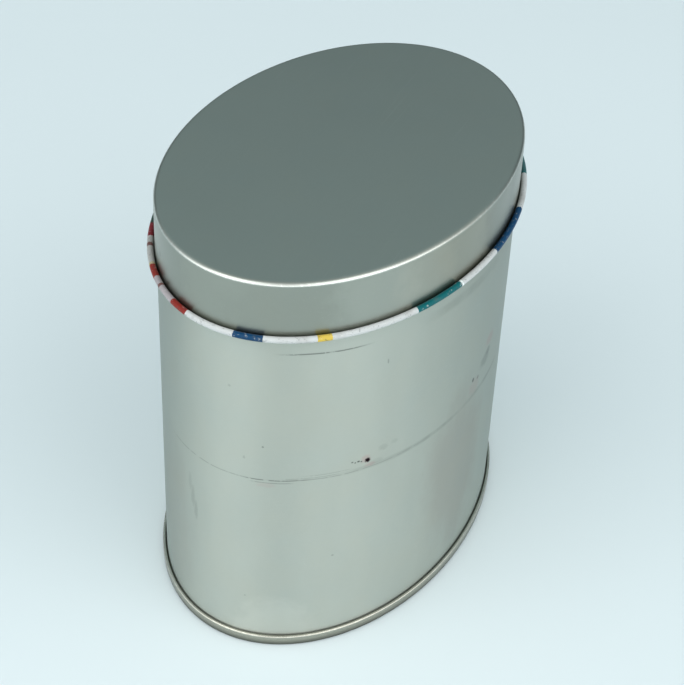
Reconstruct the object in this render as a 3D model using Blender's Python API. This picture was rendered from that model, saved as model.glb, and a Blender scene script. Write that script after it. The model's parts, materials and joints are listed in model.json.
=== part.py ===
"""Oval slip-lid tin, as the three sheets of tinplate that it is pressed and rolled from.

The lid is one drawn pressing with a rolled edge. The body is one strip, hooked to itself
down the back, rolled inwards at the mouth and hooked outwards at the foot. The base is one
pressing whose rim folds round that hook, which makes the double seam that the tin stands on.
Each sheet is drawn as the line that its cross-section follows, and swept round the oval.
"""

import math

import bmesh
import bpy

MM = 0.001

# Driving dimensions
LID_HALF_LENGTH = 65.0 * MM
LID_HALF_WIDTH = 41.9 * MM
TIN_HEIGHT = 111.5 * MM
SHEET = 0.22 * MM
LID_FIT = 0.20 * MM
SEAM_GAP = 0.15 * MM

# Lid
LID_DEPTH = 15.0 * MM
LID_EDGE_RADIUS = 1.0 * MM
LID_CURL_REACH = 1.88 * MM
LID_CURL_DIAMETER = 1.55 * MM
LID_FLARE_RADIUS = 0.4 * MM

# Body
MOUTH_CURL_DIAMETER = 2.0 * MM
MOUTH_UNDER_LID = 0.25 * MM
SIDE_SEAM_WIDTH = 3.2 * MM
SIDE_SEAM_THICKNESS = 0.5 * MM
SIDE_SEAM_SLOPE = 0.3 * MM
SIDE_SEAM_BOTTOM = 4.8 * MM
SIDE_SEAM_TOP = 107.5 * MM

# Base and its double seam
SEAM_HEIGHT = 3.0 * MM
SEAM_FOOT_INNER_RADIUS = 0.4 * MM
SEAM_FOOT_OUTER_RADIUS = 0.5 * MM
BODY_HOOK_TOP = 2.3 * MM
COVER_HOOK_BOTTOM = 1.0 * MM
BASE_PANEL_HEIGHT = 3.2 * MM
BASE_PANEL_BEND = 0.6 * MM
BASE_STEP_INSET = 8.0 * MM
BASE_STEP_RADIUS = 1.5 * MM

# Angles, in degrees
LID_CURL_TURN = 290.0
MOUTH_CURL_TURN = 312.0
BASE_STEP_TURN = 30.0
SHARP_EDGE = 35.0

# How finely the oval and the small rolls and bends are cut into flats
OVAL_STEPS = 60
CURL_STEPS = 11
HOOK_STEPS = 5
LID_EDGE_STEPS = 4
BEND_STEPS = 3
PANEL_STEP_STEPS = 2

# Where each sheet's middle line lies, as a distance outside the lid's outer wall
BODY_WALL = -SHEET - LID_FIT - SHEET / 2
COVER_HOOK = BODY_WALL + SHEET + SEAM_GAP
BODY_HOOK = COVER_HOOK + SHEET + SEAM_GAP
SEAM_WALL = BODY_HOOK + SHEET + SEAM_GAP
CHUCK_WALL = BODY_WALL - SHEET - SEAM_GAP

MOUTH_TOP = TIN_HEIGHT - SHEET - MOUTH_UNDER_LID

# Colour and roughness of each sheet's satin tinplate
LID_FINISH = ((0.66, 0.68, 0.66), 0.32)
BODY_FINISH = ((0.70, 0.72, 0.70), 0.34)
BASE_FINISH = ((0.62, 0.63, 0.61), 0.30)


class SheetLine:
    """The middle line of a sheet's cross-section, drawn as runs and bends.

    A point is (distance outside the lid's wall, height). Each is kept with its left-hand normal.
    """

    def __init__(self, outside, height, heading):
        self.outside = outside
        self.height = height
        self.heading = math.radians(heading)
        self.points = []
        self.keep()

    def keep(self):
        normal = (-math.sin(self.heading), math.cos(self.heading))
        self.points.append((self.outside, self.height, normal))

    def run(self, length):
        self.outside += length * math.cos(self.heading)
        self.height += length * math.sin(self.heading)
        self.keep()

    def bend(self, radius, degrees, steps):
        """Turns left for positive degrees and right for negative, round an arc of this radius."""
        side = math.copysign(1.0, degrees)
        centre_outside = self.outside - side * radius * math.sin(self.heading)
        centre_height = self.height + side * radius * math.cos(self.heading)
        for _ in range(steps):
            self.heading += math.radians(degrees) / steps
            self.outside = centre_outside + side * radius * math.sin(self.heading)
            self.height = centre_height - side * radius * math.cos(self.heading)
            self.keep()

    def faces(self):
        """The sheet's left face in order, then its right face back again."""
        half = SHEET / 2
        left = [(o + half * n[0], h + half * n[1]) for o, h, n in self.points]
        right = [(o - half * n[0], h - half * n[1]) for o, h, n in self.points]
        return left, right[::-1]


def oval_angles(extra=()):
    """Angles round the oval, evenly spaced, with any extra ones put in order among them."""
    even = [2 * math.pi * step / OVAL_STEPS for step in range(OVAL_STEPS)]
    return sorted(even + list(extra))


def oval_point(angle, outside):
    """A point that far outside the lid's wall, measured square to the oval."""
    x = LID_HALF_LENGTH * math.cos(angle)
    y = LID_HALF_WIDTH * math.sin(angle)
    normal_x = LID_HALF_WIDTH * math.cos(angle)
    normal_y = LID_HALF_LENGTH * math.sin(angle)
    length = math.hypot(normal_x, normal_y)
    return x + outside * normal_x / length, y + outside * normal_y / length


def sweep(name, rings, angles, panels, finish):
    """Makes one closed solid from a cross-section swept round the oval.

    rings holds the cross-section's points, each (outside, height) or a function of the angle
    that gives them. With panels, the first and last rings are filled with a flat face.
    """
    mesh_maker = bmesh.new()
    loops = []
    for ring in rings:
        loop = []
        for angle in angles:
            outside, height = ring(angle) if callable(ring) else ring
            x, y = oval_point(angle, outside)
            loop.append(mesh_maker.verts.new((x, y, height)))
        loops.append(loop)
    pairs = list(zip(loops, loops[1:]))
    if not panels:
        pairs.append((loops[-1], loops[0]))
    for near, far in pairs:
        for i in range(len(angles)):
            j = (i + 1) % len(angles)
            mesh_maker.faces.new((near[i], near[j], far[j], far[i]))
    if panels:
        mesh_maker.faces.new(loops[0])
        mesh_maker.faces.new(loops[-1])
    bmesh.ops.recalc_face_normals(mesh_maker, faces=mesh_maker.faces)
    mesh = bpy.data.meshes.new(name)
    mesh_maker.to_mesh(mesh)
    mesh_maker.free()
    mesh.shade_smooth()
    mesh.set_sharp_from_angle(angle=math.radians(SHARP_EDGE))
    mesh.materials.append(tinplate(name + "_tinplate", *finish))
    solid = bpy.data.objects.new(name, mesh)
    bpy.context.collection.objects.link(solid)
    return solid


def tinplate(name, colour, roughness):
    """Bare tinplate: a metal with this colour and roughness."""
    material = bpy.data.materials.new(name)
    material.use_nodes = True
    shader = material.node_tree.nodes["Principled BSDF"]
    shader.inputs["Base Color"].default_value = (*colour, 1.0)
    shader.inputs["Metallic"].default_value = 1.0
    shader.inputs["Roughness"].default_value = roughness
    return material


def make_lid():
    """Flat top, a tight bend, a short skirt, and an edge that flares out and rolls up to a tube.

    Its heights are measured from the tube's lowest line.
    """
    edge = LID_EDGE_RADIUS - SHEET / 2
    curl = (LID_CURL_DIAMETER - SHEET) / 2
    line = SheetLine(-LID_EDGE_RADIUS, LID_DEPTH - SHEET / 2, 0)
    line.bend(edge, -90, LID_EDGE_STEPS)
    line.run(line.height - SHEET / 2 - LID_FLARE_RADIUS)
    line.bend(LID_FLARE_RADIUS, 90, BEND_STEPS)
    line.run(LID_CURL_REACH - LID_CURL_DIAMETER / 2 - line.outside)
    line.bend(curl, LID_CURL_TURN, CURL_STEPS)
    left, right = line.faces()
    lid = sweep("lid", left + right, oval_angles(), True, LID_FINISH)
    lid.location.z = TIN_HEIGHT - LID_DEPTH
    return lid


def side_seam_depth(angle):
    """How far the hooked side seam stands into the tin: its full thickness, less at its slopes."""
    if math.sin(angle) < 0:
        return 0.0
    from_middle = abs(LID_HALF_LENGTH * math.cos(angle))
    down_slope = (from_middle - SIDE_SEAM_WIDTH / 2) / SIDE_SEAM_SLOPE
    return SIDE_SEAM_THICKNESS * (1.0 - min(1.0, max(0.0, down_slope)))


def side_seam_angles():
    """The angles of the seam's edges and of the feet of its slopes, either side of the back."""
    half_widths = (SIDE_SEAM_WIDTH / 2, SIDE_SEAM_WIDTH / 2 + SIDE_SEAM_SLOPE)
    found = []
    for half_width in half_widths:
        turn = math.asin(half_width / LID_HALF_LENGTH)
        found += [math.pi / 2 - turn, math.pi / 2 + turn]
    return found


def make_body():
    """Foot hook, wall and inward mouth roll, with the hooked side seam standing into the tin."""
    hook = (BODY_HOOK - BODY_WALL) / 2
    curl = (MOUTH_CURL_DIAMETER - SHEET) / 2
    hook_centre = SHEET + SEAM_GAP + SHEET / 2 + hook
    line = SheetLine(BODY_HOOK, BODY_HOOK_TOP, -90)
    line.run(BODY_HOOK_TOP - hook_centre)
    line.bend(hook, -180, HOOK_STEPS)
    line.run(MOUTH_TOP - MOUTH_CURL_DIAMETER / 2 - line.height)
    line.bend(curl, MOUTH_CURL_TURN, CURL_STEPS)
    left, right = line.faces()

    inner_face = BODY_WALL - SHEET / 2

    def wall(height, share):
        return lambda angle: (inner_face - share * side_seam_depth(angle), height)

    seam_rings = [
        wall(SIDE_SEAM_BOTTOM, 0.0),
        wall(SIDE_SEAM_BOTTOM + SIDE_SEAM_SLOPE, 1.0),
        wall(SIDE_SEAM_TOP - SIDE_SEAM_SLOPE, 1.0),
        wall(SIDE_SEAM_TOP, 0.0),
    ]
    wall_start = HOOK_STEPS + 2
    rings = left[:wall_start] + seam_rings + left[wall_start:] + right
    return sweep("body_wall", rings, oval_angles(side_seam_angles()), False, BODY_FINISH)


def make_base():
    """Stepped panel, a wall down to the foot, and a rim folded round the body's hook."""
    hook = (SEAM_WALL - COVER_HOOK) / 2
    panel_middle = BASE_PANEL_HEIGHT + SHEET / 2
    step_rise = 2 * BASE_STEP_RADIUS * (1 - math.cos(math.radians(BASE_STEP_TURN)))
    line = SheetLine(-BASE_STEP_INSET, panel_middle + step_rise, 0)
    line.bend(BASE_STEP_RADIUS, -BASE_STEP_TURN, PANEL_STEP_STEPS)
    line.bend(BASE_STEP_RADIUS, BASE_STEP_TURN, PANEL_STEP_STEPS)
    line.run(CHUCK_WALL - BASE_PANEL_BEND - line.outside)
    line.bend(BASE_PANEL_BEND, -90, BEND_STEPS)
    line.run(line.height - SHEET / 2 - SEAM_FOOT_INNER_RADIUS)
    line.bend(SEAM_FOOT_INNER_RADIUS, 90, BEND_STEPS)
    line.run(SEAM_WALL - SEAM_FOOT_OUTER_RADIUS - line.outside)
    line.bend(SEAM_FOOT_OUTER_RADIUS, 90, BEND_STEPS)
    line.run(SEAM_HEIGHT - SHEET / 2 - hook - line.height)
    line.bend(hook, 180, HOOK_STEPS)
    line.run(line.height - COVER_HOOK_BOTTOM)
    left, right = line.faces()
    return sweep("bottom_end", left + right, oval_angles(side_seam_angles()), True, BASE_FINISH)


def main():
    for old in list(bpy.data.objects):
        bpy.data.objects.remove(old)

    tin = bpy.data.objects.new("tin", None)
    bpy.context.collection.objects.link(tin)
    solids = (make_body(), make_base(), make_lid())
    for solid in solids:
        solid.parent = tin
        solid.data.calc_loop_triangles()
        print(solid.name, len(solid.data.loop_triangles), "triangles")


main()
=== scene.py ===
# %% [markdown]
# An oval slip-lid tin in bare, satin tinplate
#
# The real tin is three sheets of tinplate: a pressed lid, a rolled body and a pressed base. This
# lesson draws each sheet as the line that its cross-section follows, sweeps that line round an
# oval with Geometry Nodes, and then builds the satin metal, the print that shows on the lid's
# rolled edge, and the marks that handling has left. The solids in the frame already hold every
# size. They are cut coarsely, so each one is replaced here by a shell with the same sizes and
# many more points, which is what lets the small rolled edges catch the light as lines.

# %% The frame, and its box before anything is added
import json
import math

import bmesh
import bpy
from mathutils import Matrix, Vector

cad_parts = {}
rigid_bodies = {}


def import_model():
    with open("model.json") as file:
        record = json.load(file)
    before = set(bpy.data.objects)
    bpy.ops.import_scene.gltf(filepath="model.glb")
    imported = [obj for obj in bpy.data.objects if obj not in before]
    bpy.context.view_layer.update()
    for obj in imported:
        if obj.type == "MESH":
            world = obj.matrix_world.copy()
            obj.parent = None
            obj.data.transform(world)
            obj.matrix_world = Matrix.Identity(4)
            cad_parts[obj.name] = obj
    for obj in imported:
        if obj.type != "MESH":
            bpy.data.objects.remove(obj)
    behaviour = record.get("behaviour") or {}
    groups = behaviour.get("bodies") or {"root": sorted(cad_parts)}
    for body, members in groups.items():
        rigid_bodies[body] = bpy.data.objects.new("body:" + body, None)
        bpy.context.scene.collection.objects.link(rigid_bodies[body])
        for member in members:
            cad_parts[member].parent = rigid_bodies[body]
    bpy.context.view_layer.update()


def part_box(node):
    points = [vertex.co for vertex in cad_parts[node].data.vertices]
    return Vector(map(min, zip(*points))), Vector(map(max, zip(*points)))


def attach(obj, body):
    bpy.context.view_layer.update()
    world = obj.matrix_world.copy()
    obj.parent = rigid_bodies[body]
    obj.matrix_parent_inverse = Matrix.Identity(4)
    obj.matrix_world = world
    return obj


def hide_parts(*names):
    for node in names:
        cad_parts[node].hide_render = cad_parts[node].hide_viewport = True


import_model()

MM = 0.001

# %% [markdown]
# The sizes that the sheets are drawn from. The oval's half axes and the heights are read back
# from the frame, so that a shell can't drift away from its solid. The thickness of the sheet and
# the radii of its bends are the same real sizes that the solids were made with.

# %% Sizes
SHEET = 0.22 * MM
LID_FIT = 0.20 * MM
SEAM_GAP = 0.15 * MM
LID_EDGE_RADIUS = 1.0 * MM
LID_CURL_REACH = 1.88 * MM
LID_CURL_DIAMETER = 1.55 * MM
LID_FLARE_RADIUS = 0.4 * MM
MOUTH_CURL_DIAMETER = 2.0 * MM
MOUTH_UNDER_LID = 0.25 * MM
LID_CURL_TURN = 290.0
MOUTH_CURL_TURN = 312.0
FLAT_RIM = 0.6 * MM

LID_EDGE_STEPS = 10
LID_FLARE_STEPS = 8
LID_CURL_STEPS = 32
SKIRT_STEPS = 4
MOUTH_CURL_STEPS = 30
BODY_HOOK_STEPS = 10
COVER_HOOK_STEPS = 12
BASE_STEP_STEPS = 5
FOOT_STEPS = 8

SIDE_SEAM_WIDTH = 3.2 * MM
SIDE_SEAM_THICKNESS = 0.5 * MM
SIDE_SEAM_SLOPE = 0.3 * MM
SIDE_SEAM_BOTTOM = 4.8 * MM
SIDE_SEAM_TOP = 107.5 * MM
SIDE_GROOVE_WIDTH = 0.45 * MM
SIDE_GROOVE_DEPTH = 0.12 * MM

SEAM_HEIGHT = 3.0 * MM
SEAM_FOOT_INNER_RADIUS = 0.4 * MM
SEAM_FOOT_OUTER_RADIUS = 0.5 * MM
BODY_HOOK_TOP = 2.3 * MM
COVER_HOOK_BOTTOM = 1.0 * MM
BASE_PANEL_HEIGHT = 3.2 * MM
BASE_PANEL_BEND = 0.6 * MM
BASE_STEP_INSET = 8.0 * MM
BASE_STEP_TURN = 30.0
BASE_STEP_RADIUS = 1.5 * MM

BODY_WALL = -SHEET - LID_FIT - SHEET / 2
COVER_HOOK = BODY_WALL + SHEET + SEAM_GAP
BODY_HOOK = COVER_HOOK + SHEET + SEAM_GAP
SEAM_WALL = BODY_HOOK + SHEET + SEAM_GAP
CHUCK_WALL = BODY_WALL - SHEET - SEAM_GAP

lid_low, lid_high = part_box("lid")
TIN_HEIGHT = lid_high.z
LID_CURL_BOTTOM = round(lid_low.z, 5)
LID_HALF_LENGTH = round(lid_high.x - LID_CURL_REACH, 4)
LID_HALF_WIDTH = round(lid_high.y - LID_CURL_REACH, 4)
MOUTH_TOP = TIN_HEIGHT - SHEET - MOUTH_UNDER_LID
print("oval's half axes in mm:", round(LID_HALF_LENGTH / MM, 2), round(LID_HALF_WIDTH / MM, 2))
print("height in mm:", round(TIN_HEIGHT / MM, 2))

# %% [markdown]
# Pressed and rolled sheet is easiest to draw the way a press bends it: start somewhere, run
# straight, bend round a radius, run again. The class below walks such a path and keeps the
# sheet's middle line. Half a thickness to either side of it lie the sheet's two faces.

# %% A line that runs and bends like a sheet's cross-section
class SheetLine:
    """Points are (distance outside the lid's wall, height), each kept with its left normal."""

    def __init__(self, outside, height, heading):
        self.outside = outside
        self.height = height
        self.heading = math.radians(heading)
        self.points = []
        self.keep()

    def keep(self):
        normal = (-math.sin(self.heading), math.cos(self.heading))
        self.points.append((self.outside, self.height, normal))

    def run(self, length):
        self.outside += length * math.cos(self.heading)
        self.height += length * math.sin(self.heading)
        self.keep()

    def bend(self, radius, degrees, steps):
        """Turns left for positive degrees and right for negative."""
        side = math.copysign(1.0, degrees)
        centre_outside = self.outside - side * radius * math.sin(self.heading)
        centre_height = self.height + side * radius * math.cos(self.heading)
        for _ in range(steps):
            self.heading += math.radians(degrees) / steps
            self.outside = centre_outside + side * radius * math.sin(self.heading)
            self.height = centre_height - side * radius * math.cos(self.heading)
            self.keep()

    def faces(self):
        half = SHEET / 2
        left = [(o + half * n[0], h + half * n[1]) for o, h, n in self.points]
        right = [(o - half * n[0], h - half * n[1]) for o, h, n in self.points]
        return left, right[::-1]


quarter = SheetLine(0.0, 0.0, 0)
quarter.bend(10.0, 90, 4)
print("a quarter bend of radius 10 ends at", round(quarter.outside, 2), round(quarter.height, 2))

# %% [markdown]
# The three cross-sections. The lid starts on its flat top, bends down into the skirt, flares out
# at its lower edge and rolls up to a small tube, which stands clear of the wall. The body starts
# inside the double seam, climbs the wall and rolls inwards at the mouth. The base starts on its
# raised panel, steps down, dips to the foot and folds round the body's hook. Heights where a
# pressed feature starts or ends get a point of their own, so that the side seam can be pressed
# into the wall later. Each bend is given its number of steps, because a roll that catches the
# light as a thin line needs more of them than a bend that nobody sees.

# %% The three cross-sections
def lid_line():
    edge = LID_EDGE_RADIUS - SHEET / 2
    curl = (LID_CURL_DIAMETER - SHEET) / 2
    line = SheetLine(-LID_EDGE_RADIUS - FLAT_RIM, TIN_HEIGHT - SHEET / 2, 0)
    line.run(FLAT_RIM)
    line.bend(edge, -90, LID_EDGE_STEPS)
    skirt = line.height - LID_FLARE_RADIUS - LID_CURL_BOTTOM - SHEET / 2
    for _ in range(SKIRT_STEPS):
        line.run(skirt / SKIRT_STEPS)
    line.bend(LID_FLARE_RADIUS, 90, LID_FLARE_STEPS)
    line.run(LID_CURL_REACH - LID_CURL_DIAMETER / 2 - line.outside)
    line.bend(curl, LID_CURL_TURN, LID_CURL_STEPS)
    return line


def body_line():
    hook = (BODY_HOOK - BODY_WALL) / 2
    curl = (MOUTH_CURL_DIAMETER - SHEET) / 2
    hook_centre = SHEET + SEAM_GAP + SHEET / 2 + hook
    line = SheetLine(BODY_HOOK, BODY_HOOK_TOP, -90)
    line.run(BODY_HOOK_TOP - hook_centre)
    line.bend(hook, -180, BODY_HOOK_STEPS)
    slope = SIDE_SEAM_SLOPE
    stops = [SIDE_SEAM_BOTTOM, SIDE_SEAM_BOTTOM + slope, SIDE_SEAM_TOP - slope, SIDE_SEAM_TOP]
    stops += [MOUTH_TOP - MOUTH_CURL_DIAMETER / 2]
    for stop in stops:
        line.run(stop - line.height)
    line.bend(curl, MOUTH_CURL_TURN, MOUTH_CURL_STEPS)
    return line


def base_line():
    hook = (SEAM_WALL - COVER_HOOK) / 2
    step_rise = 2 * BASE_STEP_RADIUS * (1 - math.cos(math.radians(BASE_STEP_TURN)))
    panel_middle = BASE_PANEL_HEIGHT + SHEET / 2
    line = SheetLine(-BASE_STEP_INSET - FLAT_RIM, panel_middle + step_rise, 0)
    line.run(FLAT_RIM)
    line.bend(BASE_STEP_RADIUS, -BASE_STEP_TURN, BASE_STEP_STEPS)
    line.bend(BASE_STEP_RADIUS, BASE_STEP_TURN, BASE_STEP_STEPS)
    line.run(CHUCK_WALL - BASE_PANEL_BEND - line.outside)
    line.bend(BASE_PANEL_BEND, -90, FOOT_STEPS)
    line.run(line.height - SHEET / 2 - SEAM_FOOT_INNER_RADIUS)
    line.bend(SEAM_FOOT_INNER_RADIUS, 90, FOOT_STEPS)
    line.run(SEAM_WALL - SEAM_FOOT_OUTER_RADIUS - line.outside)
    line.bend(SEAM_FOOT_OUTER_RADIUS, 90, FOOT_STEPS)
    line.run(SEAM_HEIGHT - SHEET / 2 - hook - line.height)
    line.bend(hook, 180, COVER_HOOK_STEPS)
    line.run(line.height - COVER_HOOK_BOTTOM)
    return line


for title, line in (("lid", lid_line()), ("body", body_line()), ("base", base_line())):
    print(title, "cross-section:", len(line.points), "points")

# %% [markdown]
# Node trees are long when each node takes four lines, so a few small helpers keep them readable.
# The first adds a node and fills its inputs, from another node's output or from a plain value.
# The next three are for sums with numbers and with vectors. Then one turns a value between two
# limits into a share from 0 to 1, and the last starts a group with named inputs and outputs.

# %% Helpers for node trees
def add_node(tree, kind, inputs=None, **settings):
    made = tree.nodes.new(kind)
    for name, value in settings.items():
        setattr(made, name, value)
    for key, value in (inputs or {}).items():
        if isinstance(value, bpy.types.NodeSocket):
            tree.links.new(value, made.inputs[key])
        else:
            made.inputs[key].default_value = value
    return made


def sum_of(tree, operation, *values):
    inputs = dict(enumerate(values))
    return add_node(tree, "ShaderNodeMath", inputs, operation=operation).outputs[0]


def product(tree, first, *others):
    """Everything given, multiplied together."""
    for other in others:
        first = sum_of(tree, "MULTIPLY", first, other)
    return first


def vector_of(tree, operation, first, second):
    """The second is a vector too, or the number that SCALE multiplies the first by."""
    inputs = {0: first, ("Scale" if operation == "SCALE" else 1): second}
    return add_node(tree, "ShaderNodeVectorMath", inputs, operation=operation).outputs[0]


def share_between(tree, value, start, end):
    """0 where the value is at start, 1 where it is at end, with a smooth change in between."""
    inputs = {"Value": value, "From Min": start, "From Max": end}
    made = add_node(tree, "ShaderNodeMapRange", inputs, interpolation_type="SMOOTHSTEP")
    return made.outputs["Result"]


def new_tree(name, kind, inputs, outputs):
    """An empty node group with these sockets, each (name, type, default value or None)."""
    tree = bpy.data.node_groups.new(name, kind)
    for direction, sockets in (("INPUT", inputs), ("OUTPUT", outputs)):
        for title, socket_type, value in sockets:
            made = tree.interface.new_socket(title, in_out=direction, socket_type=socket_type)
            if value is not None:
                made.default_value = value
    return tree, tree.nodes.new("NodeGroupInput"), tree.nodes.new("NodeGroupOutput")

# %% [markdown]
# Sweeping a line round a closed path is what Curve to Mesh does. The path starts as a circle,
# whose points are moved to the oval. Two things need care. A pressed edge keeps its distance
# measured square to the oval, so the path carries the offset, and the oval isn't simply scaled.
# And the side seam at the back is only 3 mm wide, so the path's points crowd together there:
# the angle gets a cosine added, which spaces the points finely at the back and widely in front,
# where the oval is flattest. The seam is then pressed in by moving only the points near it.

# %% The tree that sweeps a sheet round the oval
FLOAT, INTEGER, BOOLEAN = "NodeSocketFloat", "NodeSocketInt", "NodeSocketBool"
GEOMETRY, MATERIAL = "NodeSocketGeometry", "NodeSocketMaterial"
MERGE_DISTANCE = 0.002 * MM
OVAL_STEPS = 480
CROWDING = 0.93
INNER_FACE = "inner_face"
INNER_LEAST = 0.75


def build_path(tree, given):
    """The oval as a closed curve, with its normals level and pointing outwards."""
    steps = given.outputs["Oval Steps"]
    circle = add_node(tree, "GeometryNodeCurvePrimitiveCircle", {"Resolution": steps})
    index = add_node(tree, "GeometryNodeInputIndex").outputs[0]
    even = product(tree, sum_of(tree, "DIVIDE", index, steps), 2 * math.pi)
    crowd = product(tree, sum_of(tree, "COSINE", even), given.outputs["Crowding"])
    angle = sum_of(tree, "ADD", even, crowd)
    x = product(tree, sum_of(tree, "COSINE", angle), given.outputs["Half Length"])
    y = product(tree, sum_of(tree, "SINE", angle), given.outputs["Half Width"])
    place = add_node(tree, "ShaderNodeCombineXYZ", {"X": x, "Y": y}).outputs[0]
    inputs = {"Geometry": circle.outputs["Curve"], "Position": place}
    oval = add_node(tree, "GeometryNodeSetPosition", inputs).outputs[0]
    level = add_node(tree, "GeometryNodeSetCurveNormal", {"Curve": oval}, mode="Z_UP")
    return level.outputs[0]


def build_panel(tree, path, outside, height):
    """A flat face that fills the oval this far outside the lid's wall, raised to this height."""
    normal = add_node(tree, "GeometryNodeInputNormal").outputs[0]
    inputs = {"Geometry": path, "Offset": vector_of(tree, "SCALE", normal, outside)}
    rim = add_node(tree, "GeometryNodeSetPosition", inputs).outputs[0]
    flat = add_node(tree, "GeometryNodeFillCurve", {"Curve": rim}, mode="NGONS").outputs[0]
    up = add_node(tree, "ShaderNodeCombineXYZ", {"Z": height}).outputs[0]
    inputs = {"Geometry": flat, "Offset": up}
    return add_node(tree, "GeometryNodeSetPosition", inputs).outputs[0]


def press_side_seam(tree, given, shell):
    """Presses the hooked seam inwards at the back, and the fine groove outside it."""
    place = add_node(tree, "GeometryNodeInputPosition").outputs[0]
    x, y, z = add_node(tree, "ShaderNodeSeparateXYZ", {0: place}).outputs
    side = sum_of(tree, "ABSOLUTE", x)
    edge = SIDE_SEAM_WIDTH / 2
    slope = SIDE_SEAM_SLOPE
    ridge = share_between(tree, side, edge + slope, edge)
    start = share_between(tree, z, SIDE_SEAM_BOTTOM, SIDE_SEAM_BOTTOM + slope)
    stop = share_between(tree, z, SIDE_SEAM_TOP, SIDE_SEAM_TOP - slope)
    groove = share_between(tree, side, SIDE_GROOVE_WIDTH / 2, 0.0)
    kind = {"Name": INNER_FACE}
    named = add_node(tree, "GeometryNodeInputNamedAttribute", kind, data_type="FLOAT")
    inner = named.outputs["Attribute"]
    outer = sum_of(tree, "SUBTRACT", 1.0, inner)
    inwards = product(tree, ridge, inner, SIDE_SEAM_THICKNESS)
    nick = product(tree, groove, outer, SIDE_GROOVE_DEPTH)
    depth = sum_of(tree, "ADD", inwards, nick)
    push = product(tree, depth, product(tree, start, stop), given.outputs["Side Seam"], -1.0)
    offset = add_node(tree, "ShaderNodeCombineXYZ", {"Y": push}).outputs[0]
    behind = sum_of(tree, "GREATER_THAN", y, 0.0)
    inputs = {"Geometry": shell, "Selection": behind, "Offset": offset}
    return add_node(tree, "GeometryNodeSetPosition", inputs).outputs[0]


def build_sheet_tree():
    inputs = (
        ("Profile", GEOMETRY, None),
        ("Half Length", FLOAT, LID_HALF_LENGTH),
        ("Half Width", FLOAT, LID_HALF_WIDTH),
        ("Oval Steps", INTEGER, OVAL_STEPS),
        ("Crowding", FLOAT, CROWDING),
        ("Side Seam", FLOAT, 0.0),
        ("Panels", BOOLEAN, False),
        ("Panel Outside", FLOAT, 0.0),
        ("Upper Height", FLOAT, 0.0),
        ("Lower Height", FLOAT, 0.0),
        ("Upper Is Inner", FLOAT, 0.0),
        ("Outer Material", MATERIAL, None),
        ("Inner Material", MATERIAL, None),
    )
    outputs = (("Shell", GEOMETRY, None),)
    tree, given, result = new_tree("sheet_round_oval", "GeometryNodeTree", inputs, outputs)
    path = build_path(tree, given)
    profile = add_node(tree, "GeometryNodeMeshToCurve", {"Mesh": given.outputs["Profile"]})
    inputs = {"Curve": path, "Profile Curve": profile.outputs[0]}
    swept = add_node(tree, "GeometryNodeCurveToMesh", inputs).outputs[0]
    pressed = press_side_seam(tree, given, swept)

    upper_mark = given.outputs["Upper Is Inner"]
    lower_mark = sum_of(tree, "SUBTRACT", 1.0, upper_mark)
    panels = add_node(tree, "GeometryNodeJoinGeometry")
    for height, mark in (("Lower Height", lower_mark), ("Upper Height", upper_mark)):
        flat = build_panel(tree, path, given.outputs["Panel Outside"], given.outputs[height])
        inputs = {"Geometry": flat, "Name": INNER_FACE, "Value": mark}
        kind = "GeometryNodeStoreNamedAttribute"
        stored = add_node(tree, kind, inputs, data_type="FLOAT", domain="POINT")
        tree.links.new(stored.outputs[0], panels.inputs[0])
    inputs = {"Switch": given.outputs["Panels"], "True": panels.outputs[0]}
    chosen = add_node(tree, "GeometryNodeSwitch", inputs, input_type="GEOMETRY").outputs[0]
    whole = add_node(tree, "GeometryNodeJoinGeometry")
    for piece in (chosen, pressed):
        tree.links.new(piece, whole.inputs[0])
    inputs = {"Geometry": whole.outputs[0], "Distance": MERGE_DISTANCE}
    merged = add_node(tree, "GeometryNodeMergeByDistance", inputs).outputs[0]
    real = add_node(tree, "GeometryNodeRealizeInstances", {0: merged}).outputs[0]
    inputs = {"Geometry": real, "Material": given.outputs["Outer Material"]}
    outer = add_node(tree, "GeometryNodeSetMaterial", inputs).outputs[0]
    kind = {"Name": INNER_FACE}
    face = add_node(tree, "GeometryNodeInputNamedAttribute", kind, data_type="FLOAT")
    inside = sum_of(tree, "GREATER_THAN", face.outputs["Attribute"], INNER_LEAST)
    inputs = {"Geometry": outer, "Selection": inside, "Material": given.outputs["Inner Material"]}
    painted = add_node(tree, "GeometryNodeSetMaterial", inputs).outputs[0]
    tree.links.new(painted, result.inputs["Shell"])
    return tree


sheet_tree = build_sheet_tree()
print("sweep tree:", len(sheet_tree.nodes), "nodes")

# %% [markdown]
# The surface of tinplate. Steel sheet is rolled, then coated with tin, so close up it has a fine
# grain along the direction of rolling, under a soft haze that changes slowly from place to
# place. One group makes all of that from the position on the piece. The haze changes the shade,
# and a second one makes it a little warmer or cooler, as old tinplate is. The group gives a
# colour, a roughness and a height, and each material decides what to do with them. How far the
# grain and the haze are stretched are inputs, because the lid's sheet lies flat and the body's
# stands.

# %% The group for tinplate's grain and haze
VECTOR, COLOUR = "NodeSocketVector", "NodeSocketColor"
SHADER_TREE = "ShaderNodeTree"
MOTTLE_SCALE = 600.0
WARMTH_SCALE = 90.0
WARMTH_SHARE = 0.6
GRAIN_SHADE = 0.03
MOTTLE_SHADE = 0.02
HAZE_ROUGHNESS = 0.05
GRAIN_ROUGHNESS = 0.03
MOTTLE_HEIGHT = 0.3


def srgb(red, green, blue):
    """A colour written as 0 to 255 on a screen, as the linear numbers that a shader takes."""
    linear = []
    for value in (red, green, blue):
        share = value / 255
        linear.append(share / 12.92 if share <= 0.04045 else ((share + 0.055) / 1.055) ** 2.4)
    return (*linear, 1.0)


def noise(tree, position, scale, detail=2.0, roughness=0.5):
    inputs = {"Vector": position, "Scale": scale, "Detail": detail, "Roughness": roughness}
    return add_node(tree, "ShaderNodeTexNoise", inputs, noise_dimensions="3D").outputs[0]


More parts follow.
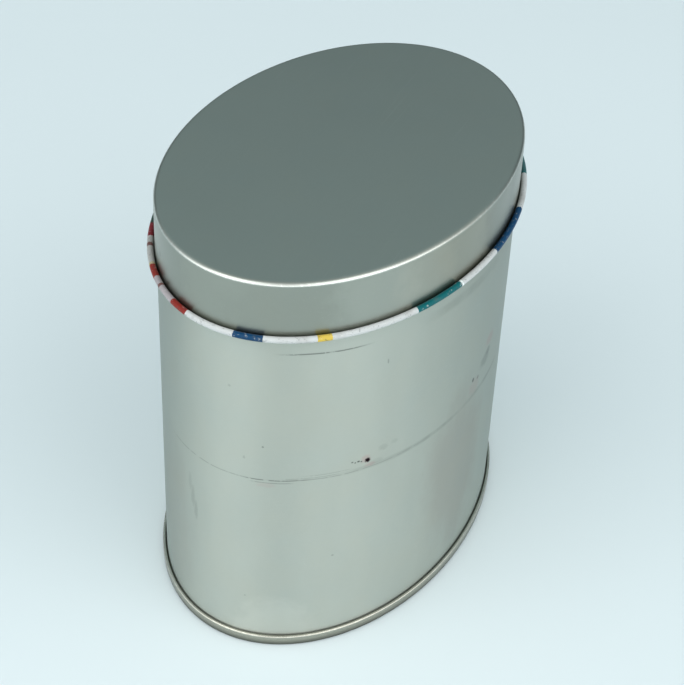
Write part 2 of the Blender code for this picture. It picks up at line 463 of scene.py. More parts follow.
def patches(tree, position, scale, detail, roughness, low, high):
    """0 where the noise is under its low value and 1 where it is over its high one."""
    return share_between(tree, noise(tree, position, scale, detail, roughness), low, high)


def mixed(tree, share, first, second, blend="MIX"):
    """The second colour laid over the first by this share. Each can be a socket or a value."""
    inputs = {0: share, 6: first, 7: second}
    made = add_node(tree, "ShaderNodeMix", inputs, data_type="RGBA", blend_type=blend)
    return made.outputs[2]


def marked(tree, colour, mask, strength, tone):
    """The colour with this tone laid over it where the mask is, at this strength."""
    return mixed(tree, product(tree, mask, strength), colour, tone)


def swing(tree, value, amount):
    """A noise value turned into a change of up to half this amount either way."""
    return product(tree, sum_of(tree, "SUBTRACT", value, 0.5), amount)


def build_tin_group():
    inputs = (
        ("Position", VECTOR, None),
        ("Tint", COLOUR, (0.7, 0.7, 0.7, 1.0)),
        ("Roughness", FLOAT, 0.3),
        ("Grain Stretch", VECTOR, (4000.0, 4000.0, 200.0)),
        ("Haze Scale", VECTOR, (40.0, 40.0, 40.0)),
        ("Haze", FLOAT, 0.05),
    )
    outputs = (("Color", COLOUR, None), ("Roughness", FLOAT, None), ("Height", FLOAT, None))
    tree, given, result = new_tree("tinplate_surface", SHADER_TREE, inputs, outputs)
    position = given.outputs["Position"]
    stretched = vector_of(tree, "MULTIPLY", position, given.outputs["Grain Stretch"])
    grain = noise(tree, stretched, 1.0, detail=3.0, roughness=0.6)
    drawn_out = vector_of(tree, "MULTIPLY", position, given.outputs["Haze Scale"])
    haze = noise(tree, drawn_out, 1.0, detail=3.0)
    mottle = noise(tree, position, MOTTLE_SCALE)

    shade = swing(tree, haze, given.outputs["Haze"])
    shade = sum_of(tree, "ADD", shade, swing(tree, grain, GRAIN_SHADE))
    shade = sum_of(tree, "ADD", shade, swing(tree, mottle, MOTTLE_SHADE))
    shade = sum_of(tree, "ADD", shade, 1.0)
    warmth = swing(tree, noise(tree, position, WARMTH_SCALE, detail=3.0), given.outputs["Haze"])
    warmth = product(tree, warmth, WARMTH_SHARE)
    warm = sum_of(tree, "ADD", shade, warmth)
    cool = sum_of(tree, "SUBTRACT", shade, warmth)
    grey = add_node(tree, "ShaderNodeCombineXYZ", {"X": warm, "Y": shade, "Z": cool}).outputs[0]
    colour = mixed(tree, 1.0, given.outputs["Tint"], grey, blend="MULTIPLY")
    rough = sum_of(tree, "ADD", swing(tree, haze, HAZE_ROUGHNESS), given.outputs["Roughness"])
    rough = sum_of(tree, "ADD", rough, swing(tree, grain, GRAIN_ROUGHNESS))
    height = sum_of(tree, "ADD", product(tree, mottle, MOTTLE_HEIGHT), grain)
    tree.links.new(colour, result.inputs["Color"])
    tree.links.new(rough, result.inputs["Roughness"])
    tree.links.new(height, result.inputs["Height"])
    return tree


tin_group = build_tin_group()
print("tinplate group:", len(tin_group.nodes), "nodes")

# %% [markdown]
# Where a point lies round the oval. The print on the rolled edge and the rings scribed round the
# body both follow the outline, so they need a turn: 0 at the right-hand end, a quarter at the
# back, and so on round to 1. Dividing each coordinate by its half axis turns the oval into a
# circle first. A point that stands off the wall is stepped back to it square to the oval before
# its turn is taken, or the bars of the print would lean across the roll. The level says how far
# out the point is, with 1 on the lid's wall.

# %% The group for a place on the oval
def measured(tree, vector):
    made = add_node(tree, "ShaderNodeVectorMath", {0: vector}, operation="LENGTH")
    return made.outputs["Value"]


def build_place_group():
    inputs = (("Position", VECTOR, None),)
    outputs = (("Turn", FLOAT, None), ("Level", FLOAT, None), ("Height", FLOAT, None))
    tree, given, result = new_tree("place_on_oval", SHADER_TREE, inputs, outputs)
    position = given.outputs["Position"]
    inverse = (1 / LID_HALF_LENGTH, 1 / LID_HALF_WIDTH, 0.0)
    round_one = vector_of(tree, "MULTIPLY", position, inverse)
    level = measured(tree, round_one)
    slope = vector_of(tree, "MULTIPLY", round_one, inverse)
    length = measured(tree, slope)
    steepness = product(tree, length, length)
    excess = product(tree, level, sum_of(tree, "SUBTRACT", level, 1.0))
    back = sum_of(tree, "DIVIDE", excess, steepness)
    foot = vector_of(tree, "SUBTRACT", position, vector_of(tree, "SCALE", slope, back))
    on_circle = vector_of(tree, "MULTIPLY", foot, inverse)
    x, y, _ = add_node(tree, "ShaderNodeSeparateXYZ", {0: on_circle}).outputs
    angle = sum_of(tree, "ARCTAN2", y, x)
    turn = sum_of(tree, "FRACT", sum_of(tree, "DIVIDE", angle, 2 * math.pi))
    height = add_node(tree, "ShaderNodeSeparateXYZ", {0: position}).outputs["Z"]
    tree.links.new(turn, result.inputs["Turn"])
    tree.links.new(level, result.inputs["Level"])
    tree.links.new(height, result.inputs["Height"])
    return tree


place_group = build_place_group()
print("place group:", len(place_group.nodes), "nodes")

# %% [markdown]
# Handling marks, and painted light. A blot is a small ragged patch round a point: a drip of ink, a
# smudge, a speck, or, when large and weak, a patch of painted shade or painted reflection. A
# scratch field is a noise stretched so far in one direction that only its highest streaks are
# left as hairlines. A band lies at one height: a ridge that has been rubbed bright, or a corner
# darkened with painted shade. Each is a group that puts out a mask, because the lid, the body and
# the base all use them.

# %% The groups for blots, hairlines and bands
BLOT_CORE = 0.45
BLOT_EDGE_NOISE = (1.7, 4.0, 0.65)
BLOT_EDGE_SWING = 2.0
HAIRLINE_EDGE = 0.06
HAIRLINE_PATCHES = (25.0, 2.0, 0.5, 0.45, 0.6)
WEAR_PATCHES = (900.0, 4.0, 0.5, 0.42, 0.62)


def build_blot_group():
    inputs = (
        ("Position", VECTOR, None),
        ("Centre", VECTOR, (0.0, 0.0, 0.0)),
        ("Size", VECTOR, (0.001, 0.001, 0.001)),
        ("Raggedness", FLOAT, 0.5),
    )
    tree, given, result = new_tree("blot", SHADER_TREE, inputs, (("Mask", FLOAT, None),))
    apart = vector_of(tree, "SUBTRACT", given.outputs["Position"], given.outputs["Centre"])
    ratio = vector_of(tree, "DIVIDE", apart, given.outputs["Size"])
    reach = measured(tree, ratio)
    ragged = swing(tree, noise(tree, ratio, *BLOT_EDGE_NOISE), BLOT_EDGE_SWING)
    ragged = product(tree, ragged, given.outputs["Raggedness"])
    mask = share_between(tree, sum_of(tree, "ADD", reach, ragged), 1.0, BLOT_CORE)
    tree.links.new(mask, result.inputs["Mask"])
    return tree


def build_hairline_group():
    inputs = (
        ("Position", VECTOR, None),
        ("Direction", VECTOR, (0.0, 0.0, 0.0)),
        ("Stretch", VECTOR, (30.0, 2600.0, 2600.0)),
        ("Least", FLOAT, 0.68),
    )
    tree, given, result = new_tree("hairlines", SHADER_TREE, inputs, (("Mask", FLOAT, None),))
    inputs = {
        "Vector": given.outputs["Position"],
        "Rotation": given.outputs["Direction"],
        "Scale": given.outputs["Stretch"],
    }
    turned = add_node(tree, "ShaderNodeMapping", inputs, vector_type="POINT").outputs[0]
    streaks = noise(tree, turned, 1.0, detail=1.0)
    least = given.outputs["Least"]
    mask = share_between(tree, streaks, least, sum_of(tree, "ADD", least, HAIRLINE_EDGE))
    there = patches(tree, given.outputs["Position"], *HAIRLINE_PATCHES)
    tree.links.new(product(tree, mask, there), result.inputs["Mask"])
    return tree


def build_band_group():
    inputs = (
        ("Position", VECTOR, None),
        ("Height", FLOAT, 0.0),
        ("Middle", FLOAT, 0.0),
        ("Half Width", FLOAT, 0.001),
        ("Least Wear", FLOAT, 0.0),
    )
    tree, given, result = new_tree("band", SHADER_TREE, inputs, (("Mask", FLOAT, None),))
    off = sum_of(tree, "SUBTRACT", given.outputs["Height"], given.outputs["Middle"])
    off = sum_of(tree, "ABSOLUTE", off)
    near = share_between(tree, off, given.outputs["Half Width"], 0.0)
    worn = patches(tree, given.outputs["Position"], *WEAR_PATCHES)
    worn = sum_of(tree, "MAXIMUM", worn, given.outputs["Least Wear"])
    tree.links.new(product(tree, near, worn), result.inputs["Mask"])
    return tree


blot_group = build_blot_group()
hairline_group = build_hairline_group()
band_group = build_band_group()
print("mark groups:", blot_group.name, hairline_group.name, band_group.name)

# %% [markdown]
# A material in this lesson starts and ends the same way each time. It starts with the object's
# own coordinates, so that nothing slides when the piece moves. It ends with a colour, a roughness
# and a height, where the height reaches the shader through a Bump node. Depths that would show
# as a dent, such as the side seam, are in the mesh, and the bump is only for what is finer.

# %% Helpers that start and end a material
def place_group_node(tree, group, inputs):
    return add_node(tree, "ShaderNodeGroup", inputs, node_tree=group)


def new_material(name):
    """A material, its node tree, its shader and the position on the piece."""
    material = bpy.data.materials.new(name)
    material.use_nodes = True
    tree = material.node_tree
    shader = tree.nodes["Principled BSDF"]
    position = tree.nodes.new("ShaderNodeTexCoord").outputs["Object"]
    return material, tree, shader, position


def finish_surface(tree, shader, colour, rough, height, strength, distance):
    tree.links.new(colour, shader.inputs["Base Color"])
    tree.links.new(rough, shader.inputs["Roughness"])
    inputs = {"Height": height, "Strength": strength, "Distance": distance}
    bump = add_node(tree, "ShaderNodeBump", inputs)
    tree.links.new(bump.outputs[0], shader.inputs["Normal"])

# %% [markdown]
# Marks are laid over the metal's colour one after another, like coats. Each blot is one row of a
# table: the angle round the oval, the height, a size, a strength and a tone. A function turns
# the first two into a point on the wall, so a row can be read and moved like a place on a map.

# %% Helpers that lay blots on a wall
# The bright tone is rubbed wear on ridges, and in large, weak blots it is a painted reflection.
# The seam's tone is painted shade. Soot is both real smudges and painted shade.
BRIGHT_WEAR_AND_SHEEN = srgb(236, 238, 228)
SEAM_SHADE = srgb(84, 88, 80)
SOOT_AND_SHADE = srgb(84, 90, 86)


def wall_point(degrees, height, outside):
    """The point that far outside the lid's wall, at this angle and height."""
    angle = math.radians(degrees)
    x = LID_HALF_LENGTH * math.cos(angle)
    y = LID_HALF_WIDTH * math.sin(angle)
    normal = Vector((LID_HALF_WIDTH * math.cos(angle), LID_HALF_LENGTH * math.sin(angle), 0))
    return Vector((x, y, height)) + normal.normalized() * outside


def lay_blots(tree, position, colour, blots, outside):
    """Blots are (degrees, height, half width and half height in mm, strength, tone)."""
    for degrees, up, half_width, half_height, strength, tone in blots:
        centre = wall_point(degrees, up * MM, outside)
        size = (half_width * MM, half_width * MM, half_height * MM)
        inputs = {"Position": position, "Centre": centre, "Size": size}
        mask = place_group_node(tree, blot_group, inputs).outputs[0]
        colour = marked(tree, colour, mask, strength, tone)
    return colour


front = wall_point(270.0, 0.0, 0.0)
print("front of the lid's wall in mm:", [round(side / MM, 1) for side in front])

# %% [markdown]
# Bare tinplate for all five metal surfaces. The function places the tinplate group, then lays
# bands and hairlines over it, and hands back everything that a caller needs to go on from there.
# A band's row says where it is, how much of it is worn even where the noise leaves it whole, and
# what it does to the colour and the roughness: rubbing makes metal brighter and smoother, and a
# dark band is painted shade that is also made a little rougher.

# %% The start of every tinplate material
HAZE = 0.05
HAZE_SCALE = (40.0, 40.0, 40.0)
HAIRLINE_DIRECTIONS = ((0.4, 0.9, 0.3), (1.1, -0.5, 2.0))
HAIRLINE_TONE = srgb(240, 240, 236)
GRAIN_ALONG = (220.0, 4200.0, 4200.0)
GRAIN_ROUND = (220.0, 220.0, 4200.0)
BUMP_DISTANCE = 0.02 * MM


def tin_material(
    name, tint, roughness, stretch, bands, hairline_share, haze=HAZE, haze_scale=HAZE_SCALE,
):
    """Bands are (middle, half width, least wear, strength, tone, change of roughness)."""
    material, tree, shader, position = new_material(name)
    shader.inputs["Metallic"].default_value = 1.0
    inputs = {"Position": position, "Tint": tint, "Roughness": roughness, "Haze": haze}
    inputs.update({"Grain Stretch": stretch, "Haze Scale": haze_scale})
    tin = place_group_node(tree, tin_group, inputs)
    colour, rough, height = tin.outputs
    place = place_group_node(tree, place_group, {"Position": position})
    for middle, half_width, least, strength, tone, rougher in bands:
        inputs = {"Position": position, "Height": place.outputs["Height"]}
        inputs.update({"Middle": middle, "Half Width": half_width, "Least Wear": least})
        band = place_group_node(tree, band_group, inputs).outputs[0]
        colour = marked(tree, colour, band, strength, tone)
        rough = sum_of(tree, "ADD", rough, product(tree, band, rougher))
    for direction in HAIRLINE_DIRECTIONS:
        inputs = {"Position": position, "Direction": direction}
        lines = place_group_node(tree, hairline_group, inputs).outputs[0]
        colour = marked(tree, colour, lines, hairline_share, HAIRLINE_TONE)
    return material, tree, shader, position, place, (colour, rough, height)


print("hairline fields on each metal:", len(HAIRLINE_DIRECTIONS))

# %% [markdown]
# The lid's outside. It is the darkest of the three sheets, and its grain runs along the oval. The
# sharp bend round the top is a ridge that rubs on everything, so it gets a worn band. On the
# skirt, large, weak blots are painted shade and painted reflection: they make it darker at its two
# ends and a little lighter and yellower towards the right. Two small ones are spots. All of them
# are held off the flat top by the level.

# %% Material of the lid's outside
LID_TINT = (0.343, 0.362, 0.318, 1.0)
LID_ROUGHNESS = 0.32
LID_HAIRLINES = 0.03
LID_BUMP = 0.12
EDGE_WORN = srgb(236, 240, 236)
# Cream and khaki are painted reflection on the skirt.
CREAM_REFLECTION = srgb(236, 222, 200)
KHAKI_REFLECTION = srgb(158, 149, 129)
SKIRT_LEVELS = (0.97, 0.99)
LID_BANDS = ((TIN_HEIGHT - 0.52 * MM, 0.56 * MM, 0.75, 0.64, EDGE_WORN, 0.0),)
# The seven large rows are painted shade and painted reflection, and the last two are spots.
SKIRT_PAINTED_LIGHT_AND_SPOTS = (
    (151.0, 103.5, 12.0, 14.0, 0.10, SOOT_AND_SHADE),
    (195.0, 103.5, 18.0, 14.0, 0.06, SOOT_AND_SHADE),
    (223.0, 103.5, 16.0, 14.0, 0.10, BRIGHT_WEAR_AND_SHEEN),
    (238.0, 103.5, 14.0, 14.0, 0.10, CREAM_REFLECTION),
    (252.0, 103.5, 18.0, 14.0, 0.25, KHAKI_REFLECTION),
    (269.0, 103.5, 16.0, 14.0, 0.25, SOOT_AND_SHADE),
    (283.0, 103.5, 14.0, 14.0, 0.25, SOOT_AND_SHADE),
    (143.8, 103.3, 0.9, 0.9, 0.35, SOOT_AND_SHADE),
    (258.6, 98.9, 0.6, 0.4, 0.45, SOOT_AND_SHADE),
)


def make_lid_outside():
    made = tin_material(
        "lid_satin", LID_TINT, LID_ROUGHNESS, GRAIN_ALONG, LID_BANDS, LID_HAIRLINES,
    )
    material, tree, shader, position, place, (colour, rough, height) = made
    on_skirt = share_between(tree, place.outputs["Level"], *SKIRT_LEVELS)
    painted_light_and_spots = lay_blots(tree, position, colour, SKIRT_PAINTED_LIGHT_AND_SPOTS, 0.0)
    colour = mixed(tree, on_skirt, colour, painted_light_and_spots)
    finish_surface(tree, shader, colour, rough, height, LID_BUMP, BUMP_DISTANCE)
    return material


lid_outside = make_lid_outside()
print("made", lid_outside.name)

# %% [markdown]
# The lid's inside. This sheet was printed before it was pressed, with the print inwards, and the
# rolled edge turns the print out again. So the roll shows short bars of colour on white, and the
# hidden inside of the lid has the same bars round a plain white panel. A colour ramp would be the
# usual way to hold the bars, but it is stored in 256 steps, and one step is wider than the
# thinnest bar. So each bar is a stretch between two angles in degrees, found by a Compare node
# and laid over the white. A little noise in the angle makes the bars' ends ragged. Where the
# sheet is bent hardest, fine crinkles show, with painted shade in their folds, and small specks
# of metal show through the print.

# %% Material of the lid's inside and rolled edge
PRINT_WHITE = srgb(186, 189, 189)
PRINT_GREY = srgb(160, 160, 158)
PRINT_LILAC = srgb(155, 149, 152)
PRINT_RED = srgb(126, 38, 30)
PRINT_WINE = srgb(112, 28, 36)
PRINT_BROWN = srgb(104, 72, 68)
PRINT_PINE = srgb(40, 62, 54)
PRINT_NAVY = srgb(0, 56, 92)
PRINT_TEAL = srgb(0, 90, 94)
PRINT_YELLOW = srgb(196, 170, 74)
PRINT_STRAW = srgb(160, 150, 112)
PRINT_SILVER = srgb(226, 236, 234)
PRINT_BARS = (
    (14.0, 31.0, PRINT_RED), (44.0, 52.0, PRINT_TEAL), (66.0, 84.0, PRINT_NAVY),
    (98.0, 101.0, PRINT_YELLOW), (112.0, 120.6, PRINT_PINE), (120.6, 126.2, PRINT_WINE),
    (126.2, 139.0, PRINT_GREY), (129.2, 130.6, PRINT_BROWN), (138.1, 139.0, PRINT_STRAW),
    (139.0, 144.7, PRINT_RED), (144.7, 156.7, PRINT_LILAC), (148.3, 149.3, PRINT_BROWN),
    (156.7, 163.8, PRINT_RED), (181.0, 190.0, PRINT_NAVY), (205.0, 209.0, PRINT_YELLOW),
    (233.0, 247.6, PRINT_TEAL), (247.8, 248.2, PRINT_SILVER), (263.2, 282.3, PRINT_NAVY),
    (298.4, 311.0, PRINT_TEAL), (333.0, 346.0, PRINT_RED),
)
PRINT_PANEL_LEVEL = 0.90
PRINT_SPECULAR = 0.15
PRINT_ROUGHNESS = 0.34
PRINT_BUMP = 0.5
PRINT_DIRT = srgb(120, 112, 104)
CREASE_SHADE = srgb(70, 72, 72)
PRINT_SPECK = srgb(200, 202, 198)
BAR_END_SCALE = 900.0
BAR_END_DEGREES = 0.5
DIRT_PATCHES = (160.0, 4.0, 0.5, 0.5, 0.8)
DIRT_STRENGTH = 0.35
DIRT_ROUGHNESS = 0.2
CRINKLE_NOISE = (1300.0, 3.0, 0.6)
CREASE_LEVELS = (0.56, 0.70)
CREASE_STRENGTH = 0.45
SPECKS = (1500.0, 2.0, 0.5, 0.60, 0.66)
SPECK_STRENGTH = 0.5
WEAR_MIDDLE = LID_CURL_BOTTOM + LID_CURL_DIAMETER - 0.35 * MM
WEAR_HALF_WIDTH = 0.8 * MM


def printed_bars(tree, degrees):
    """White all round, with each bar laid over it between its two angles."""
    colour = PRINT_WHITE
    for start, end, tone in PRINT_BARS:
        inputs = {0: degrees, 1: (start + end) / 2, 2: (end - start) / 2}
        inside = add_node(tree, "ShaderNodeMath", inputs, operation="COMPARE").outputs[0]
        colour = mixed(tree, inside, colour, tone)
    return colour


def make_lid_print():
    material, tree, shader, position = new_material("lid_print")
    shader.inputs["Specular IOR Level"].default_value = PRINT_SPECULAR
    place = place_group_node(tree, place_group, {"Position": position})
    degrees = product(tree, place.outputs["Turn"], 360.0)
    ragged = swing(tree, noise(tree, position, BAR_END_SCALE), BAR_END_DEGREES)
    bars = printed_bars(tree, sum_of(tree, "ADD", degrees, ragged))
    inner = sum_of(tree, "LESS_THAN", place.outputs["Level"], PRINT_PANEL_LEVEL)
    colour = mixed(tree, inner, bars, PRINT_WHITE)
    dirt = patches(tree, position, *DIRT_PATCHES)
    colour = marked(tree, colour, dirt, DIRT_STRENGTH, PRINT_DIRT)
    # The crinkles get painted shade in their folds.
    crinkle = noise(tree, position, *CRINKLE_NOISE)
    dark = share_between(tree, crinkle, *CREASE_LEVELS)
    colour = marked(tree, colour, dark, CREASE_STRENGTH, CREASE_SHADE)
    inputs = {"Position": position, "Height": place.outputs["Height"]}
    inputs.update({"Middle": WEAR_MIDDLE, "Half Width": WEAR_HALF_WIDTH})
    band = place_group_node(tree, band_group, inputs).outputs[0]
    worn = product(tree, band, patches(tree, position, *SPECKS))
    colour = marked(tree, colour, worn, SPECK_STRENGTH, PRINT_SPECK)
    rough = product(tree, dirt, DIRT_ROUGHNESS)
    rough = sum_of(tree, "ADD", rough, PRINT_ROUGHNESS)
    finish_surface(tree, shader, colour, rough, crinkle, PRINT_BUMP, BUMP_DISTANCE)
    return material


lid_print = make_lid_print()
print("bars in the print:", len(PRINT_BARS))

# %% [markdown]
# The body's outside carries the tin's history. Beside the middle of its front is a drip of dark
# red ink in a pale pink halo, with four dots next to it, and there are grey smudges, pink scuffs,
# small specks and one long, leaning rub. The first three rows are large and weak, and they are
# painted light: painted shade makes the two sides a little darker and browner, and a painted
# reflection makes the foot a little brighter in front. The rows are laid in this order, so the
# halo comes before the ink.

# %% Blots on the body
INK = srgb(26, 10, 18)
PINK = srgb(186, 120, 126)
MAUVE_SIDE_SHADE = srgb(154, 140, 132)
BODY_MARKS_AND_PAINTED_LIGHT = (
    # The first three rows are painted light: shade on the two sides and a reflection at the foot.
    (257.0, 32.0, 19.0, 32.0, 0.25, MAUVE_SIDE_SHADE),
    (148.0, 25.0, 14.0, 34.0, 0.12, MAUVE_SIDE_SHADE),
    (194.0, 5.0, 14.0, 12.0, 0.14, BRIGHT_WEAR_AND_SHEEN),
    (221.6, 57.0, 1.8, 1.6, 0.24, PINK),
    (222.1, 56.5, 1.05, 0.90, 1.0, INK),
    (220.2, 56.7, 0.36, 0.26, 0.85, SOOT_AND_SHADE),
    (219.3, 57.0, 0.52, 0.34, 0.90, SOOT_AND_SHADE),
    (218.3, 56.9, 0.34, 0.26, 0.80, SOOT_AND_SHADE),
    (217.4, 57.3, 0.42, 0.30, 0.75, SOOT_AND_SHADE),
    (223.0, 54.9, 2.2, 0.7, 0.22, PINK),
    (226.9, 58.6, 1.9, 1.2, 0.13, SOOT_AND_SHADE),
    (230.5, 58.9, 1.5, 0.9, 0.09, SOOT_AND_SHADE),
    (225.0, 55.2, 2.6, 0.9, 0.12, SOOT_AND_SHADE),
    (189.9, 64.9, 0.36, 0.36, 0.50, SOOT_AND_SHADE),
    (183.6, 60.9, 0.40, 0.60, 0.22, SOOT_AND_SHADE),
    (178.4, 81.1, 0.50, 0.40, 0.22, SOOT_AND_SHADE),
    (212.6, 28.5, 0.45, 0.35, 0.35, SOOT_AND_SHADE),
    (184.0, 15.5, 0.35, 0.30, 0.30, SOOT_AND_SHADE),
    (226.7, 84.5, 0.35, 0.90, 0.35, SOOT_AND_SHADE),
    (262.1, 58.3, 0.9, 0.9, 0.75, SOOT_AND_SHADE),
    (265.0, 57.2, 0.9, 0.8, 0.45, SOOT_AND_SHADE),
    (269.0, 60.0, 4.2, 2.4, 0.28, SOOT_AND_SHADE),
    (270.9, 61.6, 2.2, 1.5, 0.35, SOOT_AND_SHADE),
    (271.5, 65.0, 4.0, 2.4, 0.18, PINK),
    (263.0, 55.6, 4.2, 3.2, 0.13, PINK),
    (160.4, 44.6, 0.9, 3.4, 0.11, SOOT_AND_SHADE),
    (161.8, 40.4, 1.0, 4.2, 0.17, SOOT_AND_SHADE),
    (163.3, 36.6, 0.9, 3.6, 0.20, SOOT_AND_SHADE),
    (191.0, 53.2, 3.0, 0.9, 0.11, PINK),
)
BODY_OUTSIDE = BODY_WALL + SHEET / 2
print("blots on the body:", len(BODY_MARKS_AND_PAINTED_LIGHT))

# %% [markdown]
# Rings. While the body turned on the seaming machine, something scribed a fine ring round it at
# half height. A ring could be a groove in the mesh, but it is finer than the mesh's steps, so it
# is a mask that darkens the colour and lowers the bump. The one at half height wanders a little,
# drops towards the right, and is doubled for a stretch in front. Rings are hairlines that a fine
# noise breaks. Smears are the soft grey bands beside them, which a coarse noise makes patchy. The
# short ring and the wide smear at 92 mm, just under the lid's roll, are painted shade of the roll,
# laid by the same mask. A row of either is its height and half width in mm, its middle, its reach
# either side and its fade in degrees, and its strength.

# %% The rings scribed round the body, and the painted shade under the roll
RINGS = (
    (54.80, 0.26, 194.0, 8.0, 6.0, 0.58),
    (54.80, 0.23, 198.0, 40.0, 12.0, 0.34),
    (54.80, 0.22, 250.0, 16.0, 8.0, 0.18),
    (53.98, 0.18, 192.5, 5.0, 3.0, 0.42),
    (55.30, 0.18, 205.0, 6.0, 5.0, 0.30),
    (55.95, 0.18, 209.5, 5.0, 4.0, 0.26),
    # The ring at 92 mm, under the lid's roll, is painted shade of the roll.
    (92.10, 0.28, 208.0, 6.0, 10.0, 0.65),
)
SMEARS_AND_ROLL_SHADE = (
    (54.80, 0.90, 255.0, 15.0, 18.0, 0.32),
    (55.00, 0.90, 224.0, 6.0, 10.0, 0.16),
    # The smear at 92 mm is painted shade under the lid's roll.
    (92.20, 2.00, 256.0, 9.0, 12.0, 0.18),
)
RING_DROP = 0.033 * MM
RING_DROP_START = 203.0
RING_WANDER = 0.35 * MM
RING_WANDER_SCALE = 120.0
RING_PATCHES = (420.0, 4.0, 0.65, 0.34, 0.50)
SMEAR_PATCHES = (110.0, 3.0, 0.5, 0.25, 0.60)


def ring_and_shade_mask(tree, position, place):
    """The strongest ring, smear or painted shade at each point, each as strong as its row says."""
    degrees = product(tree, place.outputs["Turn"], 360.0)
    past = sum_of(tree, "MAXIMUM", sum_of(tree, "SUBTRACT", degrees, RING_DROP_START), 0.0)
    wander = swing(tree, noise(tree, position, RING_WANDER_SCALE), RING_WANDER)
    level = sum_of(tree, "ADD", place.outputs["Height"], product(tree, past, RING_DROP))
    level = sum_of(tree, "SUBTRACT", level, wander)
    broken = patches(tree, position, *RING_PATCHES)
    patchy = patches(tree, position, *SMEAR_PATCHES)
    strongest = 0.0
    for row in RINGS + SMEARS_AND_ROLL_SHADE:
        height, half_width, middle, reach, fade, strength = row
        off = sum_of(tree, "ABSOLUTE", sum_of(tree, "SUBTRACT", level, height * MM))
        line = share_between(tree, off, half_width * MM, half_width * MM / 4)
        turned = sum_of(tree, "ABSOLUTE", sum_of(tree, "SUBTRACT", degrees, middle))
        seen = share_between(tree, turned, reach + fade, reach)
        line = product(tree, line, seen, strength, broken if row in RINGS else patchy)
        strongest = sum_of(tree, "MAXIMUM", strongest, line)
    return strongest


print("rings and smears:", len(RINGS), len(SMEARS_AND_ROLL_SHADE))

# %% [markdown]
# The body's outside, put together. The strip was rolled along its length, which now runs round
# the tin, so its fine grain stretches a reflection up and down. The shader's anisotropy does the
# same, and it is what makes the wall look soft and even while the edges stay bright. The haze is
# stronger here than on the lid, and drawn out upwards. The mouth's ridge is rubbed bright, and a
# thin band of painted shade darkens the corner over the foot's seam.

# %% Material of the body's outside
BODY_TINT = (0.455, 0.49, 0.444, 1.0)
BODY_ROUGHNESS = 0.44
BODY_HAIRLINES = 0.05
BODY_HAZE = 0.08
BODY_HAZE_SCALE = (110.0, 110.0, 45.0)
BODY_BUMP = 0.25
GLOSS_STRETCH = 0.9
GLOSS_TURN = 0.25
RING_DEPTH = 3.0
# The second band is painted shade in the corner over the foot's seam.
BODY_BANDS = (
    (MOUTH_TOP - 0.4 * MM, 0.6 * MM, 0.0, 0.35, BRIGHT_WEAR_AND_SHEEN, -0.06),
    (SEAM_HEIGHT - 0.1 * MM, 0.45 * MM, 1.0, 0.7, SEAM_SHADE, 0.1),
)


def make_body_outside():
    made = tin_material(
        "body_satin", BODY_TINT, BODY_ROUGHNESS, GRAIN_ROUND, BODY_BANDS, BODY_HAIRLINES,
        BODY_HAZE, BODY_HAZE_SCALE,
    )
    material, tree, shader, position, place, (colour, rough, height) = made
    shader.inputs["Anisotropic"].default_value = GLOSS_STRETCH
    shader.inputs["Anisotropic Rotation"].default_value = GLOSS_TURN
    colour = lay_blots(tree, position, colour, BODY_MARKS_AND_PAINTED_LIGHT, BODY_OUTSIDE)
    ring = ring_and_shade_mask(tree, position, place)
    # Rings, smears and the painted shade under the roll darken the colour and the bump together.
    colour = mixed(tree, ring, colour, SOOT_AND_SHADE)
    height = sum_of(tree, "SUBTRACT", height, product(tree, ring, RING_DEPTH))
    finish_surface(tree, shader, colour, rough, height, BODY_BUMP, BUMP_DISTANCE)
    return material


body_outside = make_body_outside()
print("made", body_outside.name)

# %% [markdown]
# The body's inside and the base are the same tinplate without the marks, and a little warmer
# inside, where no hand has been. The seam round the foot slides on every shelf, and its ridge is
# rubbed bright. Below the ridge it is painted darker all the way down, and darkest at the floor:
# painted shade for the contact shadow and the shaded floor that the seam reflects.

# %% Materials of the body's inside and of the base
INSIDE_TINT = srgb(214, 212, 200)
INSIDE_ROUGHNESS = 0.30
INSIDE_HAIRLINES = 0.03
BASE_TINT = srgb(170, 168, 156)
BASE_ROUGHNESS = 0.26
BASE_HAIRLINES = 0.10
FOOT_CONTACT_SHADE = srgb(34, 40, 38)
# Both bands at the foot are painted shade, darkest at the floor.
BASE_BANDS = (
    (SEAM_HEIGHT - 0.2 * MM, 0.35 * MM, 0.5, 0.35, BRIGHT_WEAR_AND_SHEEN, -0.04),
    (0.0, 2.4 * MM, 1.0, 0.95, SEAM_SHADE, 0.1),
    (0.0, 0.9 * MM, 1.0, 0.50, FOOT_CONTACT_SHADE, 0.1),
)


def make_plain_tin(name, tint, roughness, stretch, bands, hairline_share):
    made = tin_material(name, tint, roughness, stretch, bands, hairline_share)
    material, tree, shader, _, _, (colour, rough, height) = made
    finish_surface(tree, shader, colour, rough, height, BODY_BUMP, BUMP_DISTANCE)
    return material


body_inside = make_plain_tin(
    "body_inside", INSIDE_TINT, INSIDE_ROUGHNESS, GRAIN_ROUND, (), INSIDE_HAIRLINES,
)
base_outside = make_plain_tin(
    "base_satin", BASE_TINT, BASE_ROUGHNESS, GRAIN_ALONG, BASE_BANDS, BASE_HAIRLINES,
)
base_inside = make_plain_tin(
    "base_inside", INSIDE_TINT, INSIDE_ROUGHNESS, GRAIN_ALONG, (), INSIDE_HAIRLINES,
)
print("made", body_inside.name, base_outside.name, base_inside.name)

# %% [markdown]
# Now the sweeps. Each sheet's cross-section becomes a small mesh of points and edges, marked with
# which face of the sheet each point is on. The tree's inputs are set by their identifiers before
# anything is evaluated. The evaluated result is copied to a plain mesh, its normals are made to
# point outwards, and its bends are shaded smooth up to the angle of a cut edge.

# %% The sweep of one sheet
SHARP_FROM = math.radians(40)


